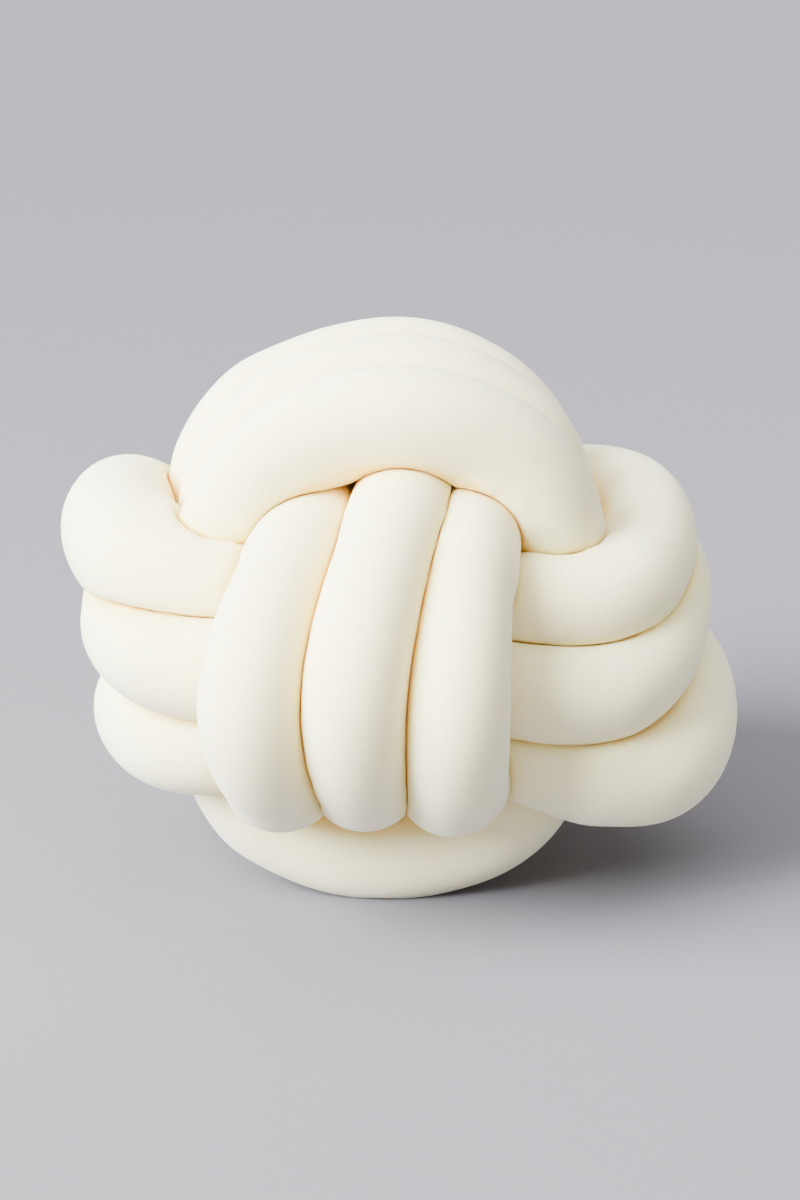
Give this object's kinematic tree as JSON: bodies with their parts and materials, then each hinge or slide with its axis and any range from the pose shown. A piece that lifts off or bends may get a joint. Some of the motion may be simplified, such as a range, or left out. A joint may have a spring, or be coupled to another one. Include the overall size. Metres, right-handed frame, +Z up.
{
  "type": "knot cushion",
  "caption": "Ball-shaped knot cushion: a long stuffed plush tube wound into a tight rounded knot, resting on its lowest passes.",
  "frame": {"origin": "on the floor, under the middle of the cushion's box", "axes": "+Z up; -Y is the front, the face crossed by the upright passes; +X is to the right seen from the front"},
  "size_m": [0.402, 0.3906, 0.3292],
  "materials": {
    "plush": "ivory plush with a short soft nap"
  },
  "bodies": {
    "root": {"knotted_tube": "plush"}
  },
  "joints": []
}
